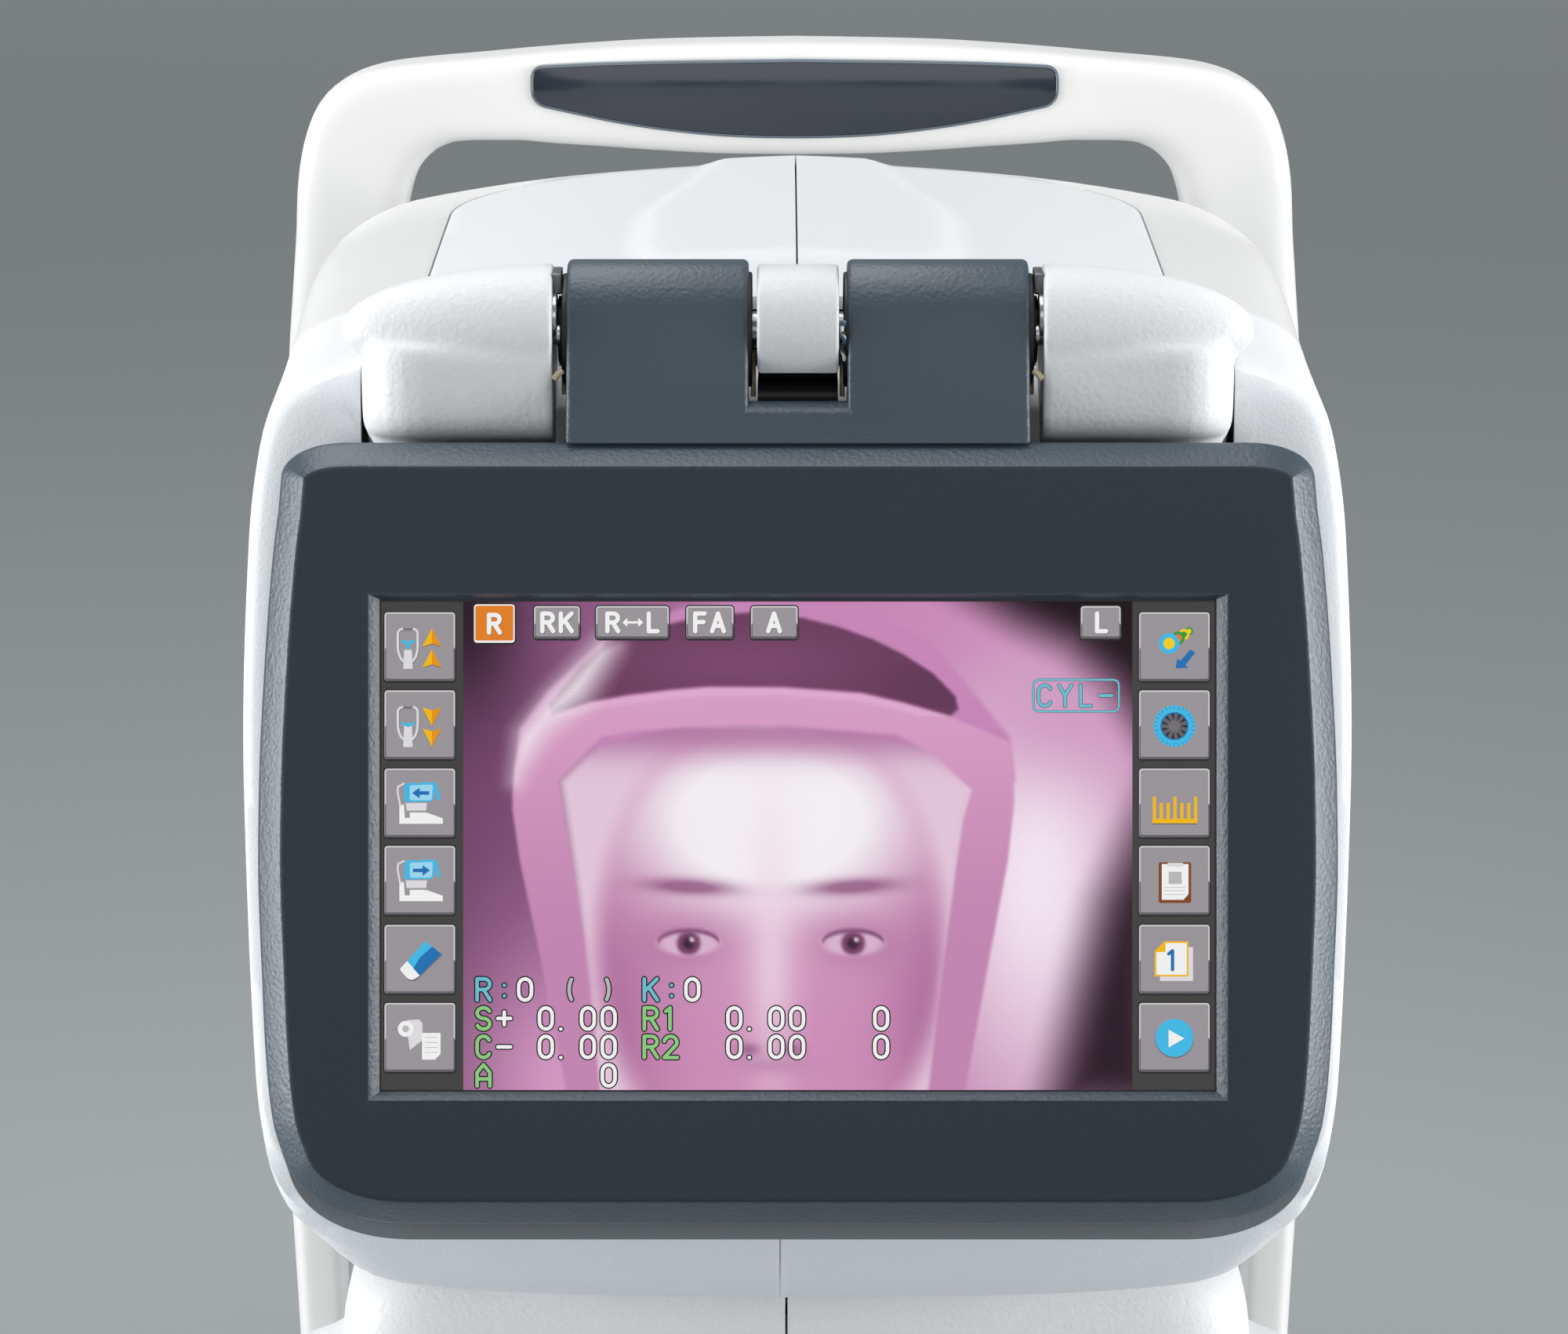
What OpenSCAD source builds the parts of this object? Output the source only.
// Tabletop autorefractor: base with printer, motorised three-axis stage, measuring head,
// tilting touch display, and headrest arch with a motorised chin rest.
// Millimetres. +Z is up, the operator is at -Y and the patient at +Y.
// The origin is the centre of the bounding box, on the table.

/* [Overall] */
// Overall depth, from the front of the base to the back of the headrest arch
total_d = 525; // [523:1:530]
// Height of the display's hinge axis above the table
hinge_z = 447; // [445:1:450]
// Half width of the base
base_half = 145; // [143:0.5:146]
// Half width of the arch legs at the table
arch_half = 158.5; // [157:0.5:160]

/* [Display] */
// Tilt of the display from vertical when it hangs closed
tilt = 13.4; // [12.5:0.1:14.5]
// Width of the visible screen
screen_w = 184.8; // [182:0.2:186]
// Height of the visible screen
screen_h = 108.6; // [106:0.2:109]
// Width of the display housing at its middle
display_w = 239.6; // [237:0.2:241]

/* [Covers] */
// Wall thickness of the moulded covers
wall = 3; // [2.4:0.1:3.2]
// Gap between neighbouring covers
seam = 0.5; // [0.4:0.1:0.7]

/* [Stage] */
// Radius of the depth rails
y_rail_r = 6; // [5:0.5:7]
// Radius of the side travel rails
x_rail_r = 5; // [4:0.5:5.5]
// Radius of the lifting guide shafts
z_shaft_r = 7; // [6:0.5:8]
// Running clearance of a shaft in its bush
fit = 0.05; // [0.02:0.01:0.08]

/* [Hidden] */
$fn = 48;

WHITE = [0.93, 0.93, 0.92];
SLATE = [0.24, 0.28, 0.32];
NAVY = [0.10, 0.14, 0.19];
STEEL = [0.72, 0.73, 0.75];
ALLOY = [0.78, 0.79, 0.80];
BLACK = [0.10, 0.10, 0.11];
BOARD = [0.10, 0.35, 0.20];

hinge_y = 110 - total_d / 2;
// Tiers: base top, depth rails, side rails, bottom and top of the tower cover
base_top = 127;
y_rail_z = 100;
x_rail_z = 160;
tower_z0 = 147;
tower_z1 = 201;
// The stage's centre and the depth of the base's steps
stage_y = hinge_y + 187;
flat_y0 = hinge_y + 52;
flat_y1 = hinge_y + 272;
front_y = -total_d / 2;
apron_y = hinge_y + 337;
arch_y0 = hinge_y + 340;
// Optical axis, below the hinge axis
optic = -77;

// ---------------------------------------------------------------- helpers

// The corner at v, between a and b, as a bend of n steps that starts k before it
function bend(a, v, b, k, n) =
    let (
        p = v + (a - v) * min(k, 0.49 * norm(a - v)) / norm(a - v),
        q = v + (b - v) * min(k, 0.49 * norm(b - v)) / norm(b - v)
    )
    k == 0 ? [v] : [for (i = [0:n]) let (s = i / n)
        (1 - s) * (1 - s) * p + 2 * s * (1 - s) * v + s * s * q];

// A closed outline of [x, y, k] corners, each bent over n steps
function rounded(pts, n = 5) =
    let (c = len(pts))
    [for (i = [0:c - 1])
        let (a = pts[(i + c - 1) % c], v = pts[i], b = pts[(i + 1) % c])
        each bend([a[0], a[1]], [v[0], v[1]], [b[0], b[1]], v[2], n)];

// The right half of an outline, from top to bottom, made whole
function whole(pts) = concat(pts,
    [for (i = [len(pts) - 1:-1:0]) if (pts[i][0] > 0) [-pts[i][0], pts[i][1], pts[i][2]]]);

module box(x, y, z) {
    translate([x[0], y[0], z[0]]) cube([x[1] - x[0], y[1] - y[0], z[1] - z[0]]);
}

// Rods along X, Y and Z
module rod_x(r, x, y, z) translate([x[0], y, z]) rotate([0, 90, 0]) cylinder(r = r, h = x[1] - x[0]);
module rod_y(r, x, y, z) translate([x, y[1], z]) rotate([90, 0, 0]) cylinder(r = r, h = y[1] - y[0]);
module rod_z(r, x, y, z) translate([x, y, z[0]]) cylinder(r = r, h = z[1] - z[0]);

// Outlines extruded along X (from Y and Z), along Y (from X and Z) and along Z
module prism_x(x) translate([x[0], 0, 0]) rotate([90, 0, 90]) linear_extrude(x[1] - x[0]) children();
module prism_y(y) translate([0, y[1], 0]) rotate([90, 0, 0]) linear_extrude(y[1] - y[0]) children();
module prism_z(z) translate([0, 0, z[0]]) linear_extrude(z[1] - z[0]) children();

// Coordinates from the hinge axis: the head's, and the display's as it hangs
module at_hinge() translate([0, hinge_y, hinge_z]) children();
module on_display() at_hinge() rotate([-tilt, 0, 0]) children();

module both_sides() {
    children();
    mirror([1, 0, 0]) children();
}

// ---------------------------------------------------------------- base

module base_form(t) intersection() {
    prism_x([-200, 200]) offset(delta = -t) polygon(rounded([
        [front_y, -40, 0], [front_y, 97, 16], [flat_y0, base_top, 10], [flat_y1, base_top, 14],
        [flat_y1 + 4, 60, 4], [apron_y, 60, 10], [apron_y, -40, 0]], 4));
    prism_y([-300, 300]) offset(delta = -t) polygon(rounded([
        [-base_half, -40, 0], [-base_half, base_top - 5, 22], [0, base_top + 0.1, 0],
        [base_half, base_top - 5, 22], [base_half, -40, 0]], 4));
    prism_z([-40, 200]) offset(delta = -t) polygon(rounded([
        [-base_half, front_y, 60], [-base_half, apron_y, 6],
        [base_half, apron_y, 6], [base_half, front_y, 60]], 6));
}

lid_a = atan(30 / (flat_y0 - front_y));
// The printer lid's plane: x across, y up the slope from its front edge, z out of it
module on_slope() translate([0, front_y, 97]) rotate([lid_a, 0, 0]) children();
lid_s = [24, 104];
lid_half = 44;

module base_cover() color(WHITE) difference() {
    base_form(0);
    base_form(wall);
    // Open below
    box([-200, 200], [-300, 300], [-60, 5]);
    // Way for the plate's rear shelf
    box([-base_half + 9, base_half - 9], [apron_y - 6, apron_y + 5], [-60, 9.6]);
    // Way for the stage's stem
    box([-42, 42], [stage_y - 56, stage_y + 56], [base_top - 12, base_top + 9]);
    // Printer bay
    on_slope() box([-lid_half - 0.6, lid_half + 0.6], [lid_s[0] - 0.6, lid_s[1] + 7], [-14, 20]);
    // Lid button, inlet, switch, sockets and air slots
    on_slope() box([lid_half + 6, lid_half + 24], [40, 58], [-14, 20]);
    box([-base_half - 9, -base_half + 9], [88, 120], [24, 48]);
    box([-base_half - 9, -base_half + 9], [60, 82], [28, 45]);
    box([-base_half - 9, -base_half + 9], [-20, 44], [26, 46]);
    for (i = [0:7]) box([base_half - 9, base_half + 9], [20 + 9 * i, 24 + 9 * i], [24, 54]);
}

module base_plate() color(ALLOY) difference() {
    union() {
        prism_z([6, 9]) offset(delta = -wall - seam) polygon(rounded([
            [-base_half, front_y, 60], [-base_half, apron_y, 0],
            [base_half, apron_y, 0], [base_half, front_y, 60]], 6));
        box([-base_half + 10, base_half - 10], [apron_y - 4, apron_y + 3], [6, 9]);
        box([-134, 134], [apron_y + 3, 256], [6, 9]);
        // Portals that carry the depth rails
        for (y = [stage_y - 78, stage_y + 68]) box([-62, 62], [y, y + 10], [9, y_rail_z + 12]);
    }
    for (x = [-44, 44]) rod_y(y_rail_r, x, [stage_y - 90, stage_y + 90], y_rail_z);
    rod_y(7, 0, [stage_y - 90, stage_y + 90], y_rail_z);
    for (y = [stage_y - 78, stage_y + 68]) box([-46, 46], [y - 1, y + 11], [20, 80]);
}

module base_feet() color(BLACK)
    for (x = [-1, 1], y = [-190, 165]) rod_z(12, 112 * x, y, [0, 6]);

module power_inlet() color(BLACK) translate([-base_half, 104, 36]) {
    difference() {
        union() {
            box([-2, 0], [-18, 18], [-14, 14]);
            box([0, 22], [-14.5, 14.5], [-10.5, 10.5]);
        }
        box([-3, 18], [-12, 12], [-8, 8]);
    }
    for (y = [-7, 0, 7]) box([6, 18], [y - 1, y + 1], [y == 0 ? 1 : -2, y == 0 ? 5 : 2]);
}

// The rocker turns about a pin along Z
module power_switch() color(BLACK) translate([-base_half + 4, 71, 36.5]) {
    prism_z([-6, 6]) polygon([[8, -6], [8, 6], [2, 8.5], [-6.6, 8.5], [-4.2, 0], [-4.6, -8.5], [2, -8.5]]);
    rod_z(1.5, 0, 0, [-8, 8]);
}

module socket_panel() color(BLACK) difference() {
    box([-base_half + 0.5, -base_half + 2.5], [-19.5, 43.5], [26.5, 45.5]);
    for (y = [-14, 8, 26]) box([-base_half, -base_half + 4], [y, y + 13], [31, 41]);
}

module power_supply() color(STEEL) box([-120, -72], [-30, 100], [12, 60]);

module main_board() color(BOARD) {
    box([72, 128], [-20, 110], [20, 21.6]);
    for (y = [-10, 30, 70]) box([84, 104], [y, y + 22], [21.6, 25]);
    for (x = [78, 122], y = [-14, 104]) rod_z(3, x, y, [9, 20]);
}

// ---------------------------------------------------------------- printer

roll_y = front_y + 62;
roll_z = 56;
platen_s = lid_s[0] + 8;

module printer_frame() color(BLACK) {
    difference() {
        union() {
            both_sides() box([40, 43], [front_y + 26, front_y + 112], [9, 116]);
            box([-43, 43], [front_y + 26, front_y + 96], [9, 12]);
            // Print head against the platen
            box([-40, 40], [front_y + 26, front_y + 29], [12, 96]);
        }
        on_slope() box([-60, 60], [-10, 140], [-4, 60]);
        on_slope() rod_x(1.5 + fit, [-50, 50], platen_s, -8.5);
    }
    both_sides() on_slope() rod_x(3.2, [39.4, 43.6], lid_s[1] + 2, -6);
    // Pin of the lid
    on_slope() rod_x(1.5, [-39.9, 39.9], lid_s[1] + 2, -6);
}

module paper_roll() color([0.95, 0.95, 0.93]) difference() {
    rod_x(24, [-29, 29], roll_y, roll_z - 8);
    rod_x(6, [-30, 30], roll_y, roll_z - 8);
}

module printer_lid() color(WHITE) on_slope() difference() {
    union() {
        box([-lid_half, lid_half], [lid_s[0], lid_s[1]], [-2.6, 0.4]);
        // Hinge lugs
        both_sides() {
            rod_x(3, [28, 38], lid_s[1] + 2, -6);
            hull() {
                box([28, 38], [lid_s[1] - 6, lid_s[1] - 1], [-2, -1.5]);
                rod_x(2.6, [28, 38], lid_s[1] + 1, -6);
            }
        }
    }
    rod_x(1.5 + fit, [-50, 50], lid_s[1] + 2, -6);
    // Paper exit
    box([-30, 30], [lid_s[0] - 1, lid_s[0] + 2.6], [-5, 3]);
    // Finger recess
    box([-12, 12], [lid_s[0] + 8, lid_s[0] + 17], [-0.8, 3]);
}

module platen_roller() color(BLACK) on_slope() {
    rod_x(3.6, [-39, 39], platen_s, -8.5);
    rod_x(1.5, [-42.6, 42.6], platen_s, -8.5);
}

module lid_button() color(SLATE) on_slope() {
    box([lid_half + 6.5, lid_half + 23.5], [40.5, 57.5], [-3, 1.6]);
}

// ---------------------------------------------------------------- depth and side stage

module y_rails() color(STEEL) {
    for (x = [-44, 44]) rod_y(y_rail_r, x, [stage_y - 84, stage_y + 80], y_rail_z);
}

module y_motor() color(BLACK) {
    difference() {
        box([-21, 21], [stage_y - 112, stage_y - 78], [y_rail_z - 21, y_rail_z + 17]);
        rod_y(5, 0, [stage_y - 82, stage_y - 70], y_rail_z);
    }
    rod_y(11, 0, [stage_y - 115, stage_y - 112], y_rail_z - 2);
}

module y_screw() color(STEEL) rod_y(4, 0, [stage_y - 81, stage_y + 77.5], y_rail_z);

module y_carriage() color(ALLOY) {
    difference() {
        union() {
            box([-58, 58], [stage_y - 34, stage_y + 34], [y_rail_z - 12, y_rail_z + 12]);
            box([-38, 38], [stage_y - 30, stage_y + 30], [y_rail_z + 12, tower_z0 + 2]);
            for (y = [stage_y - 72, stage_y + 66]) box([-50, 50], [y, y + 6], [tower_z0 - 1, tower_z0 + 2]);
            box([-55, 55], [stage_y - 72, stage_y + 72], [tower_z0 + 2, tower_z0 + 6]);
            for (y = [stage_y - 72, stage_y + 52]) box([-55, 55], [y, y + 20], [tower_z0 + 6, x_rail_z + 10]);
            // Bracket of the side travel screw
            box([-55, -49.5], [x_screw_y - 9, x_screw_y + 9], [tower_z0 + 5, x_rail_z + 6.5]);
        }
        for (x = [-44, 44]) rod_y(y_rail_r + fit, x, [stage_y - 90, stage_y + 90], y_rail_z);
        rod_y(4 + fit, 0, [stage_y - 90, stage_y + 90], y_rail_z);
        for (y = [-62, 62]) rod_x(x_rail_r + fit, [-60, 60], stage_y + y, x_rail_z);
        rod_x(3.5 + fit, [-60, -40], x_screw_y, x_rail_z);
    }
}

// Skirt that hides the stem's way through the base
module stage_skirt() color(WHITE) difference() {
    prism_z([base_top + 1.5, tower_z0 - 1]) polygon(rounded([
        [-104, stage_y - 105, 30], [-104, stage_y + 105, 30],
        [104, stage_y + 105, 30], [104, stage_y - 105, 30]], 6));
    prism_z([base_top, tower_z0 - 4]) polygon(rounded([
        [-101, stage_y - 102, 28], [-101, stage_y + 102, 28],
        [101, stage_y + 102, 28], [101, stage_y - 102, 28]], 6));
    box([-38.5, 38.5], [stage_y - 30.5, stage_y + 30.5], [base_top, tower_z0 + 5]);
}

x_screw_y = stage_y + 36;

module x_rails() color(STEEL)
    for (y = [-62, 62]) rod_x(x_rail_r, [-108, 108], stage_y + y, x_rail_z);

module x_screw() color(STEEL) rod_x(3.5, [-55, 54], x_screw_y, x_rail_z);

module x_motor() color(BLACK) difference() {
    box([-76, -50], [x_screw_y - 13, x_screw_y + 13], [base_top + 2.4, tower_z0 - 4.4]);
    rod_z(8, -63, x_screw_y, [base_top, base_top + 3.4]);
}

module x_carriage() color(ALLOY) difference() {
    union() {
        // End brackets on the side rails
        both_sides() box([100, 106], [stage_y - 75, stage_y + 75], [x_rail_z - 10, x_rail_z + 12]);
        // Deck above the rails
        box([-106, 106], [stage_y - 75, stage_y + 75], [x_rail_z + 14, x_rail_z + 18]);
        both_sides() box([100, 106], [stage_y - 75, stage_y + 75], [x_rail_z + 12, x_rail_z + 14]);
        // Bushes of the lifting shafts
        both_sides() rod_z(14, 78, stage_y, [x_rail_z - 5, tower_z1 - 8]);
        // Nut of the side travel screw
        box([-3, 7], [x_screw_y - 7, x_screw_y + 7], [x_rail_z - 5.4, x_rail_z + 15]);
    }
    for (y = [-62, 62]) rod_x(x_rail_r, [-120, 120], stage_y + y, x_rail_z);
    both_sides() rod_z(z_shaft_r + fit, 78, stage_y, [100, 250]);
    box([-28, 28], [stage_y - 28, stage_y + 28], [x_rail_z + 10, x_rail_z + 20]);
    rod_x(3.5 + fit, [-20, 20], x_screw_y, x_rail_z);
}

module tower_form(t) intersection() {
    prism_x([-200, 200]) offset(delta = -t) polygon(rounded([
        [stage_y - 115, 60, 0], [stage_y - 115, tower_z1, 30],
        [stage_y + 115, tower_z1, 20], [stage_y + 115, 60, 0]], 5));
    prism_y([-300, 300]) offset(delta = -t) polygon(rounded([
        [-117, 60, 0], [-115, tower_z1, 30], [115, tower_z1, 30], [117, 60, 0]], 5));
    prism_z([60, 260]) offset(delta = -t) polygon(rounded([
        [-117, stage_y - 115, 34], [-117, stage_y + 115, 34],
        [117, stage_y + 115, 34], [117, stage_y - 115, 34]], 5));
}

module tower_shell() difference() {
    tower_form(0);
    tower_form(wall);
    box([-200, 200], [-300, 300], [0, tower_z0]);
    box([-96, 96], [stage_y - 60, stage_y + 60], [tower_z1 - 9, tower_z1 + 9]);
}

module tower_cover_left() color(WHITE) intersection() {
    tower_shell();
    box([-200, -seam / 2], [-300, 300], [0, 300]);
}

module tower_cover_right() color(WHITE) intersection() {
    tower_shell();
    box([seam / 2, 200], [-300, 300], [0, 300]);
}

module z_motor() color(BLACK) difference() {
    box([-27.5, 27.5], [stage_y - 27.5, stage_y + 27.5], [x_rail_z + 8, x_rail_z + 30]);
    rod_z(5, 0, stage_y, [x_rail_z + 26, x_rail_z + 40]);
}

module z_screw() color(STEEL) rod_z(4, 0, stage_y, [x_rail_z + 27, hinge_z - 170]);

// ---------------------------------------------------------------- head

// Profiles are measured from the hinge axis
module head_side() polygon(rounded([
    [19, -4, 3], [24, 5, 8], [262, 5, 20], [325, -45, 24], [327, -190, 30], [300, -215, 16],
    [70, -215, 4], [66, -240, 10], [40, -246, 16], [10, -225, 30], [0, -150, 40], [4, -30, 10],
    [4, -20, 3]], 5));
module head_back() polygon(rounded(whole([
    [0, 5.1, 0], [119, -8, 16], [131, -48, 40], [132, -120, 60], [124, -212, 30],
    [104, -236, 16], [0, -247, 0]]), 5));
module head_plan() polygon(rounded(whole([
    [60, 327, 30], [122, 290, 60], [132, 160, 60], [130, 30, 20], [118, 0, 14], [0, -2, 0]]), 5));

module head_form(t) intersection() {
    prism_x([-200, 200]) offset(delta = -t) head_side();
    prism_y([-100, 400]) offset(delta = -t) head_back();
    prism_z([-300, 100]) offset(delta = -t) head_plan();
}

// The operator's side of the covers, with a tongue over the deck
module head_zone(g) union() {
    box([-200, 200], [-100, 96 - g], [-300, 100]);
    prism_z([-60, 100]) offset(delta = -g) polygon(rounded([
        [-91, 50, 0], [-91, 245, 44], [91, 245, 44], [91, 50, 0]], 6));
}

module head_shell() difference() {
    head_form(0);
    head_form(wall);
    // Room for the display's arms to turn
    rod_x(18, [-53.5, 53.5], 0, 0);
    // Seat of the hinge cover
    box([-99, 99], [-30, 26.5], [-76, 30]);
    // Way for the lift
    box([-98, 98], [104, 270], [-225, -205]);
}

module head_half_cover() intersection() {
    head_shell();
    head_zone(seam / 2);
    box([-200, -seam / 2], [-200, 400], [-300, 100]);
}

module head_cover_left() color(WHITE) at_hinge() head_half_cover();
module head_cover_right() color(WHITE) at_hinge() mirror([1, 0, 0]) head_half_cover();

module patient_cover() color(WHITE) at_hinge() difference() {
    head_shell();
    head_zone(-seam / 2);
    rod_y(36.5, 0, [300, 340], optic);
}

module head_frame() color(ALLOY) at_hinge() difference() {
    union() {
        box([-100, 100], [84, 268], [-211, -205]);
        both_sides() box([56, 60], [30, 120], [-205, -36]);
        box([-80, 80], [30, 34], [-205, -30]);
        box([-60, 60], [34, 120], [-112, -108]);
        // Nut of the lifting screw
        rod_z(9, 0, 187, [-222, -211]);
        both_sides() rod_z(13, 78, 187, [-205, -197]);
        // Optical bench
        box([-34, 34], [110, 300], [-116, -112]);
        box([-30, -26], [130, 290], [-205, -116]);
        box([26, 30], [130, 290], [-205, -116]);
    }
    both_sides() rod_z(z_shaft_r, 78, 187, [-240, -190]);
    rod_z(4 + fit, 0, 187, [-240, -190]);
}

module guide_shafts() color(STEEL) at_hinge() both_sides() rod_z(z_shaft_r, 78, 187, [-275, -197]);

module window_panel() color(BLACK) at_hinge() difference() {
    union() {
        rod_y(36, 0, [318, 329], optic);
        rod_y(38, 0, [315, 318], optic);
    }
    rod_y(17, 0, [310, 340], optic);
    // Flange cut off under the sloping cover
    box([-50, 50], [313, 318], [-50.6, -30]);
    difference() {
        rod_y(32, 0, [325, 340], optic);
        rod_y(24, 0, [310, 340], optic);
    }
}

module ring_light() color([0.9, 0.4, 0.35]) at_hinge() difference() {
    rod_y(31.6, 0, [325, 327.6], optic);
    rod_y(24.4, 0, [310, 340], optic);
}

module window_glass() color([0.55, 0.65, 0.70]) at_hinge() rod_y(16.6, 0, [322, 324.4], optic);

module objective_barrel() color(BLACK) at_hinge() difference() {
    union() {
        rod_y(22, 0, [236, 314.6], optic);
        box([-16, 16], [240, 300], [-112, optic - 15]);
    }
    rod_y(18, 0, [235, 296], optic);
    rod_y(16, 0, [290, 320], optic);
}

module rotary_prism() color([0.60, 0.68, 0.74]) at_hinge() {
    difference() {
        rod_y(17.6, 0, [250, 266], optic);
        rod_y(14, 0, [249, 262], optic);
    }
    rod_y(12, 0, [254, 262], optic);
}

module beam_splitter() color([0.60, 0.68, 0.74]) at_hinge() {
    box([-18, 18], [186, 188.4], [-112, -58]);
    box([-22, 22], [183, 186], [-112, -108]);
    box([-22, 22], [188.4, 192], [-112, -108]);
}

module eye_camera() color(BLACK) at_hinge() {
    box([-16, 16], [126, 146], [-112, -62]);
    rod_y(12, 0, [146, 168], optic);
}

module head_board() color(BOARD) at_hinge() {
    box([-50, 50], [36, 37.6], [-100, -30]);
    for (x = [-36, 4]) box([x, x + 24], [37.6, 41], [-84, -56]);
}

// ---------------------------------------------------------------- display hinge

module mount_cover() color(WHITE) at_hinge() difference() {
    union() {
        both_sides() {
            rod_x(14.5, [54, 86], 0, 0);
            // Tapered outer end
            translate([86, 0, 0]) rotate([0, 90, 0]) cylinder(r1 = 14.5, r2 = 8.5, h = 13);
            translate([99, 0, 0]) rotate([0, 90, 0]) cylinder(r1 = 8.5, r2 = 5, h = 3);
        }
        prism_z([-74, -2]) polygon(rounded([[-98, 3.2, 8], [-98, 26, 0], [98, 26, 0], [98, 3.2, 8]], 5));
    }
    rod_x(18, [-53.5, 53.5], 0, 0);
    rod_x(11.5, [50, 82], 0, 0);
    rod_x(11.5, [-82, -50], 0, 0);
    box([-53.5, 53.5], [-30, 2], [-90, 30]);
    box([-95, 95], [6.2, 30], [-80, -15]);
    box([-50, 50], [16, 30], [-18, 0]);
    // Pockets of the shaft's brackets
    box([66, 78], [5.2, 30], [-12.8, -4.4]);
    box([-78, -66], [5.2, 30], [-12.8, -4.4]);
    box([66, 78], [19, 30], [-16, -4.4]);
    box([-78, -66], [19, 30], [-16, -4.4]);
}

module hinge_cap() color(WHITE) at_hinge() difference() {
    union() {
        rod_x(14.5, [-9.2, 9.2], 0, 0);
        box([-9.2, 9.2], [0, 12.6], [-12, 4]);
    }
    rod_x(4.4, [-20, 20], 0, 0);
}

// Shaft and the brackets that hold it, on the head
module hinge_shaft() color(STEEL) at_hinge() {
    rod_x(4, [-80, 80], 0, 0);
    both_sides() difference() {
        union() {
            box([68, 76], [0, 5.8], [-8, 8]);
            box([68, 76], [5.8, 24], [-12, -5]);
            box([68, 76], [20, 24], [-60, -5]);
            box([68, 76], [20, 30], [-60, -50]);
        }
        rod_x(4, [60, 80], 0, 0);
    }
}

// Leads that cross the gap beside the hinge cap
module hinge_cables() color([0.85, 0.80, 0.65]) at_hinge() both_sides() {
    rod_z(0.6, 10, -1.4, [-15, -5]);
    rod_z(0.6, 10, 1.2, [-15, -5]);
    rod_z(0.6, 52.6, 1.2, [-15, -5]);
}

// ---------------------------------------------------------------- display

module display_arm() color(SLATE) on_display() difference() {
    union() {
        both_sides() {
            rod_x(15.6, [10.9, 51.5], 0, 0);
            box([10.9, 51.5], [-15.6, 6], [-26, 0]);
        }
        box([-51.5, 51.5], [-15.6, 6], [-26, -17]);
    }
    // Hollow behind, round the knuckles
    both_sides() rod_x(12.6, [13.4, 49], 0, 0);
    rod_x(5, [-60, 60], 0, 0);
    box([13.4, 49], [-5, 12], [-24, 0]);
    box([-49, -13.4], [-5, 12], [-24, 0]);
}

function outline(grow) =
    let (w = display_w / 2 + grow)
    rounded(whole([
        [w - 5, -26 + grow, 13], [w, -100, 60], [w - 1.4, -160, 40],
        [w - 8, -198.4 - grow, 34]]), 5);

module display_bezel() color(SLATE) on_display() difference() {
    hull() {
        prism_y([-14.4, -8]) polygon(outline(0));
        prism_y([-20, -19.9]) polygon(outline(-5.8));
    }
    // Screen opening and the seats behind it
    box([-screen_w / 2, screen_w / 2], [-30, 0], [-60.9 - screen_h, -60.9]);
    box([-98, 98], [-17.4, 0], [-175, -55.5]);
    box([-112, 112], [-14, 0], [-192, -32]);
}

module display_case() color(SLATE) on_display() difference() {
    prism_y([-8, 6]) polygon([for (p = outline(-0.6)) [p[0], p[1] < -150 ? p[1] - 4 : p[1]]]);
    prism_y([-9, 3.4]) offset(delta = -2.6) polygon([for (p = outline(-0.6)) [p[0], p[1]]]);
}

module screen_panel() color(STEEL) on_display() {
    box([-96.5, 96.5], [-15.8, -9], [-173, -57.5]);
    box([-100, 100], [-9, -7.4], [-180, -50]);
    both_sides() box([84, 92], [-7.4, 3.4], [-120, -100]);
}

module touch_glass() color([0.3, 0.34, 0.38]) on_display()
    box([-97, 97], [-17.4, -15.8], [-174, -56.5]);

module hinge_knuckles() color(STEEL) on_display() both_sides() difference() {
    union() {
        rod_x(9, [16, 46], 0, 0);
        box([20, 42], [-4, 5], [-23.6, -6]);
    }
    rod_x(4 + fit, [10, 50], 0, 0);
}

// ---------------------------------------------------------------- headrest

module arch_profile() polygon(rounded([
    [345, -10, 6], [345, 22, 5], [350, 27.5, 3], [368, 27.5, 5], [374, 20, 4], [374, -12, 8],
    [404, -68, 30], [414.5, -130, 40], [415, -444, 0], [340, -444, 0], [340, -300, 30],
    [386, -228, 40], [388, -120, 40]], 5));
module arch_outer() polygon(rounded(whole([
    [0, 24.9, 0], [60, 23.4, 20], [118, 19, 16], [140, 8, 20], [146.5, -30, 20], [153.5, -110, 60],
    [arch_half - 1, -260, 60], [arch_half, -447, 0]]), 5));
module arch_inner() polygon(rounded(whole([
    [0, -8.2, 0], [66, -5.2, 20], [101, -3, 14], [112.6, -20, 14], [119.6, -70, 40], [131, -180, 50],
    [138.5, -262, 20], [138.5, -460, 0]]), 5));

module arch_frame() color(WHITE) at_hinge() difference() {
    intersection() {
        prism_x([-200, 200]) arch_profile();
        prism_y([300, 450]) arch_outer();
    }
    prism_y([290, 460]) arch_inner();
}

module arch_inlay() color(NAVY) at_hinge() prism_y([343.8, 345]) polygon(rounded(whole([
    [0, 17.8, 0], [76.5, 15.9, 5], [76.5, 4.4, 5], [40, -0.6, 30], [0, -6, 20]]), 5));

module forehead_rest() color([0.80, 0.81, 0.83]) at_hinge() prism_z([-3.8, 20]) polygon(rounded([
    [-58, 374, 2], [58, 374, 2], [58, 382, 6], [0, 389, 30], [-58, 382, 6]], 5));

module eye_marks() color(SLATE) at_hinge() both_sides()
    box([150.7, 153.4], [396, 402], [optic - 1, optic + 1]);

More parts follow.
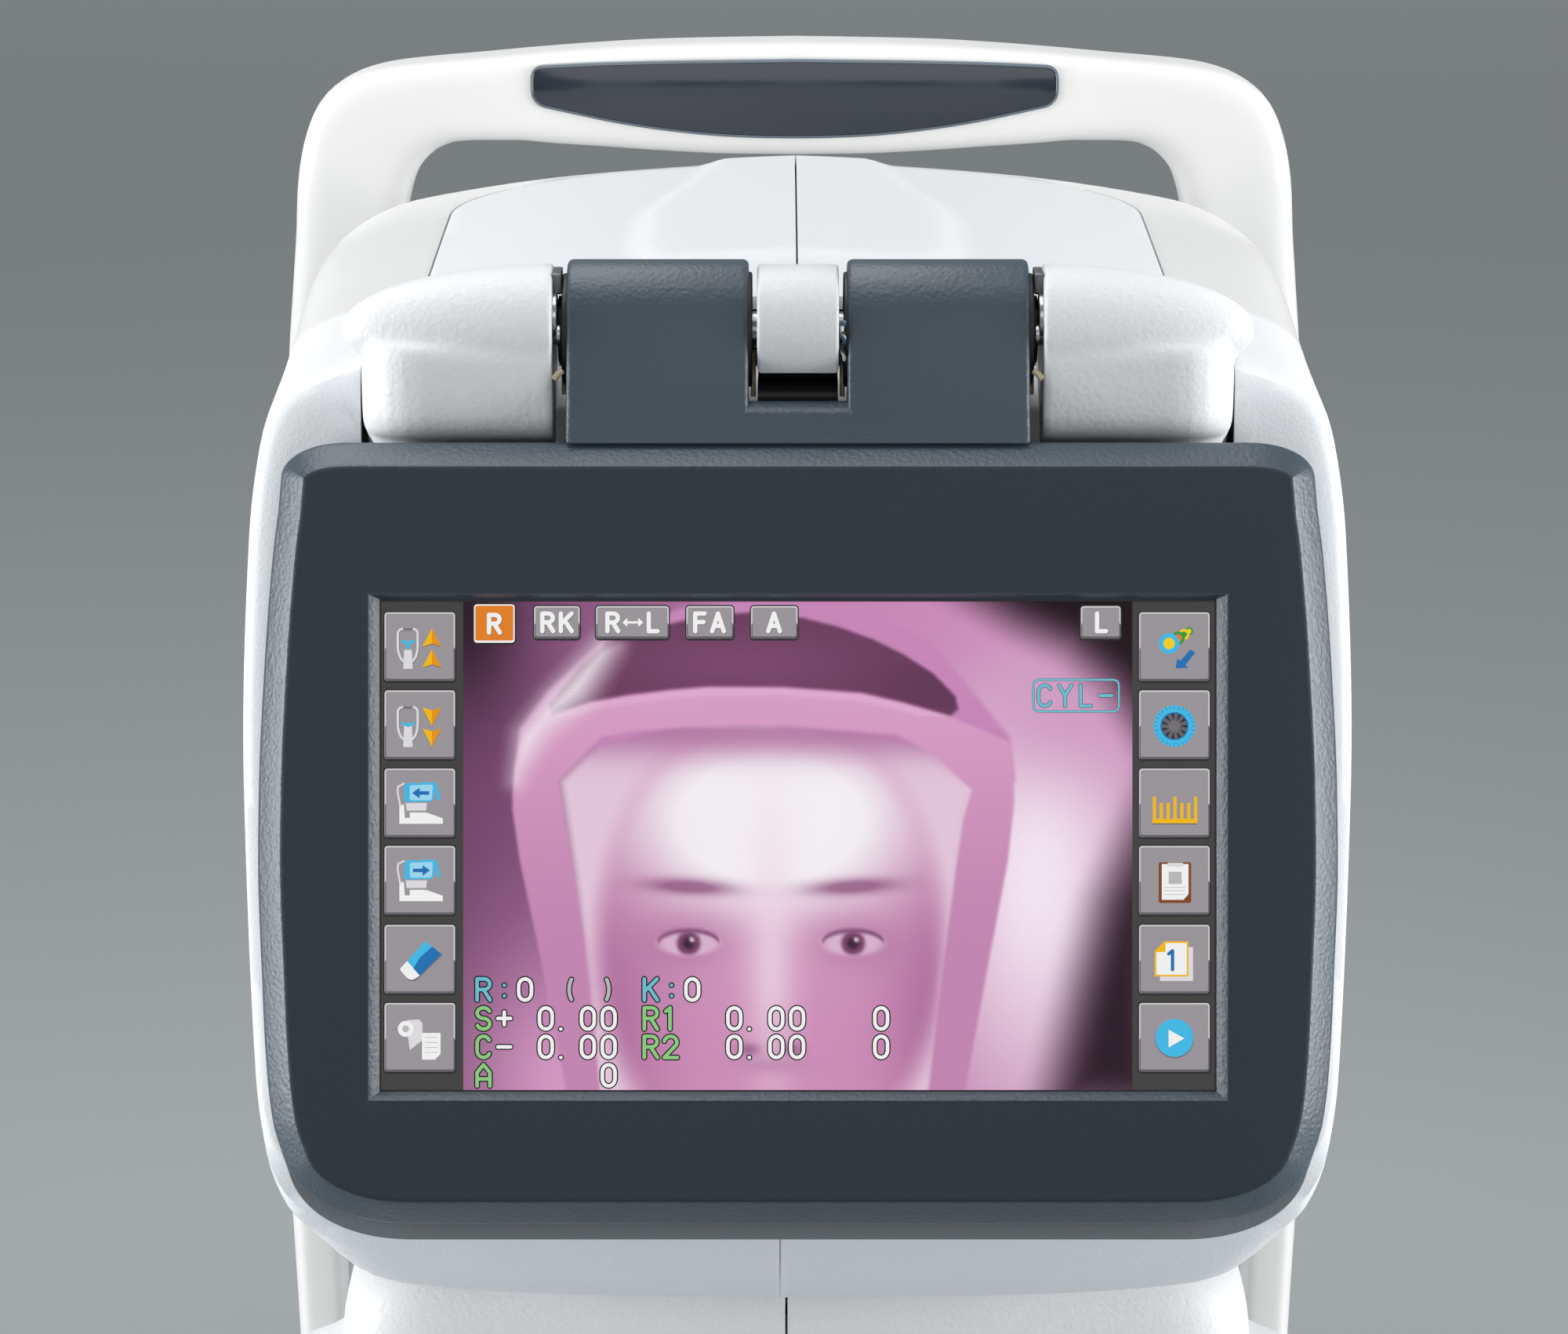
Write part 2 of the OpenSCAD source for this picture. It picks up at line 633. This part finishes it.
// The chin rest's column between the legs
post_y = 378;
module column_form() polygon(rounded(whole([
    [31, -251, 12], [33, -318, 20], [60, -334, 26], [137.5, -322, 6], [137.5, -460, 0]]), 5));

module chin_housing() color(WHITE) at_hinge() difference() {
    prism_y([345, 412]) column_form();
    prism_y([345 + wall, 412 - wall]) offset(delta = -wall) column_form();
    box([-200, 200], [300, 450], [-500, -442]);
    box([-base_half + 9, base_half - 9], [340, 349], [-445, -437.4]);
    rod_z(11 + fit, 0, post_y, [-270, -240]);
}

module chin_motor() color(BLACK) at_hinge() difference() {
    box([-21, 21], [post_y - 21, post_y + 21], [-438, -392]);
    rod_z(5, 0, post_y, [-396, -380]);
}

module chin_screw() color(STEEL) at_hinge() rod_z(4, 0, post_y, [-395, -262]);

module chin_post() color(STEEL) at_hinge() difference() {
    rod_z(11, 0, post_y, [-318, -219]);
    rod_z(4 + fit, 0, post_y, [-330, -300]);
    rod_z(7.5, 0, post_y, [-306, -224]);
}

module chin_cup() color(WHITE) at_hinge() difference() {
    prism_z([-219, -202]) polygon(rounded([
        [-38, 353, 8], [38, 353, 8], [34, 400, 22], [-34, 400, 22]], 6));
    translate([0, 384, -176]) rotate([-76, 0, 0]) translate([0, 0, -60]) cylinder(r = 36, h = 120);
    for (x = [-30, 30]) rod_z(2 + fit, x, 362, [-230, -190]);
}

module paper_pin(x) color(STEEL) at_hinge() {
    rod_z(2, x, 362, [-217, -198]);
    rod_z(4, x, 362, [-202, -196]);
}
module paper_pin_left() paper_pin(-30);
module paper_pin_right() paper_pin(30);

// ---------------------------------------------------------------- choice of node

base_plate();
base_cover();
base_feet();
power_inlet();
power_switch();
socket_panel();
power_supply();
main_board();
printer_frame();
paper_roll();
printer_lid();
platen_roller();
lid_button();
y_rails();
y_motor();
y_screw();
arch_frame();
arch_inlay();
forehead_rest();
eye_marks();
chin_housing();
chin_motor();
chin_screw();
chin_post();
chin_cup();
paper_pin_left();
paper_pin_right();
y_carriage();
stage_skirt();
x_motor();
x_screw();
x_carriage();
x_rails();
tower_cover_left();
tower_cover_right();
z_motor();
z_screw();
head_frame();
guide_shafts();
head_cover_left();
head_cover_right();
patient_cover();
window_panel();
window_glass();
ring_light();
objective_barrel();
rotary_prism();
beam_splitter();
eye_camera();
head_board();
mount_cover();
hinge_cap();
hinge_shaft();
hinge_cables();
display_arm();
display_bezel();
display_case();
screen_panel();
touch_glass();
hinge_knuckles();
